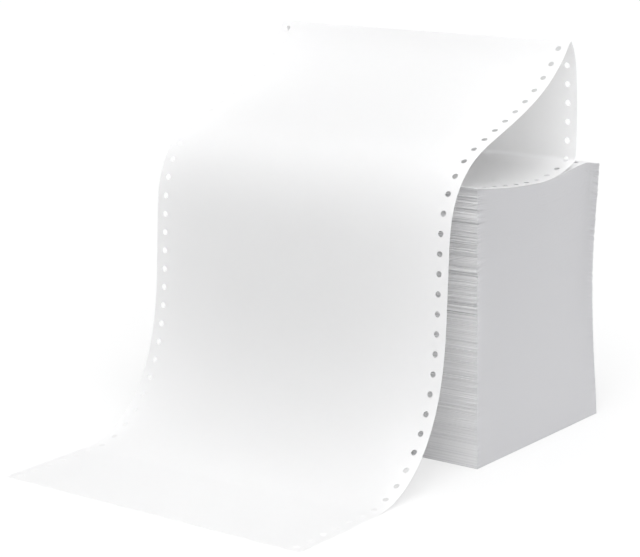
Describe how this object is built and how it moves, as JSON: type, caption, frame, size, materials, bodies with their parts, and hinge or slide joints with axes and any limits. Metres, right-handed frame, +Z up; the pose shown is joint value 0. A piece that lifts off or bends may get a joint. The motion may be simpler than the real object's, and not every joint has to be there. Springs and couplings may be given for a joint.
{
  "type": "fanfold continuous form paper",
  "caption": "Continuous form paper folded back and forth into a pile, with sprocket holes along both edges; its top sheet rises, folds over and falls forward to the table.",
  "frame": {"origin": "on the table, in the middle of the floor space that the paper takes up", "axes": "+X across the paper, +Y from the free end towards the back of the pile, +Z up"},
  "size_m": [0.2414, 0.3374, 0.265],
  "materials": {
    "paper": "smooth uncoated white printing paper"
  },
  "bodies": {
    "root": {"fanfold_paper": "paper"}
  },
  "joints": []
}
